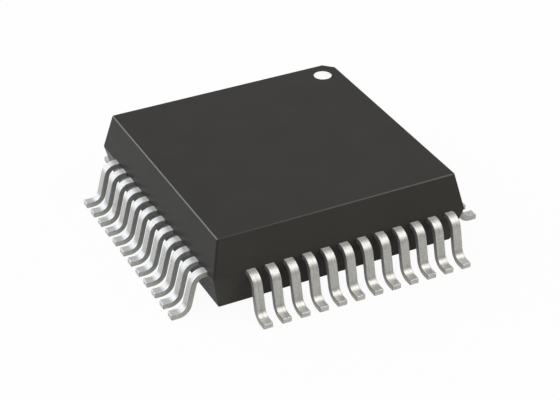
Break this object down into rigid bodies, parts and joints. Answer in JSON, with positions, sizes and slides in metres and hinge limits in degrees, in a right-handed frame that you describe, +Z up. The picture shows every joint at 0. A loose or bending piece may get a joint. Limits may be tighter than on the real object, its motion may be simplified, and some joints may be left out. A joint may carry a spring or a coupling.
{
  "type": "quad flat pack chip",
  "caption": "Square moulded quad flat pack chip with gull wing leads along every side and a round white mark beside its cut corner.",
  "frame": {"origin": "middle of the body, on the plane that the feet stand on", "axes": "+Z up out of the top face; +X and +Y square to two sides, with the cut corner between them"},
  "size_m": [0.0176, 0.0176, 0.0041],
  "materials": {
    "mould_compound": "satin, smooth moulding compound, dark charcoal",
    "mark_ink": "matt white ink",
    "tinned_lead": "satin tin plate with fine streaks along the lead",
    "copper_strip": "rolled copper alloy strip, satin",
    "die_adhesive": "silver filled adhesive, matt",
    "silicon": "polished silicon",
    "gold_wire": "bright gold"
  },
  "bodies": {
    "root": {"mould_body": "mould_compound", "pin_one_mark": "mark_ink", "lead_01": "tinned_lead", "lead_02": "tinned_lead", "lead_03": "tinned_lead", "lead_04": "tinned_lead", "lead_05": "tinned_lead", "lead_06": "tinned_lead", "lead_07": "tinned_lead", "lead_08": "tinned_lead", "lead_09": "tinned_lead", "lead_10": "tinned_lead", "lead_11": "tinned_lead", "lead_12": "tinned_lead", "lead_13": "tinned_lead", "lead_14": "tinned_lead", "lead_15": "tinned_lead", "lead_16": "tinned_lead", "lead_17": "tinned_lead", "lead_18": "tinned_lead", "lead_19": "tinned_lead", "lead_20": "tinned_lead", "lead_21": "tinned_lead", "lead_22": "tinned_lead", "lead_23": "tinned_lead", "lead_24": "tinned_lead", "lead_25": "tinned_lead", "lead_26": "tinned_lead", "lead_27": "tinned_lead", "lead_28": "tinned_lead", "lead_29": "tinned_lead", "lead_30": "tinned_lead", "lead_31": "tinned_lead", "lead_32": "tinned_lead", "lead_33": "tinned_lead", "lead_34": "tinned_lead", "lead_35": "tinned_lead", "lead_36": "tinned_lead", "lead_37": "tinned_lead", "lead_38": "tinned_lead", "lead_39": "tinned_lead", "lead_40": "tinned_lead", "lead_41": "tinned_lead", "lead_42": "tinned_lead", "lead_43": "tinned_lead", "lead_44": "tinned_lead", "lead_45": "tinned_lead", "lead_46": "tinned_lead", "lead_47": "tinned_lead", "lead_48": "tinned_lead", "die_paddle": "copper_strip", "die_attach": "die_adhesive", "die": "silicon", "bond_wires": "gold_wire"}
  },
  "joints": []
}
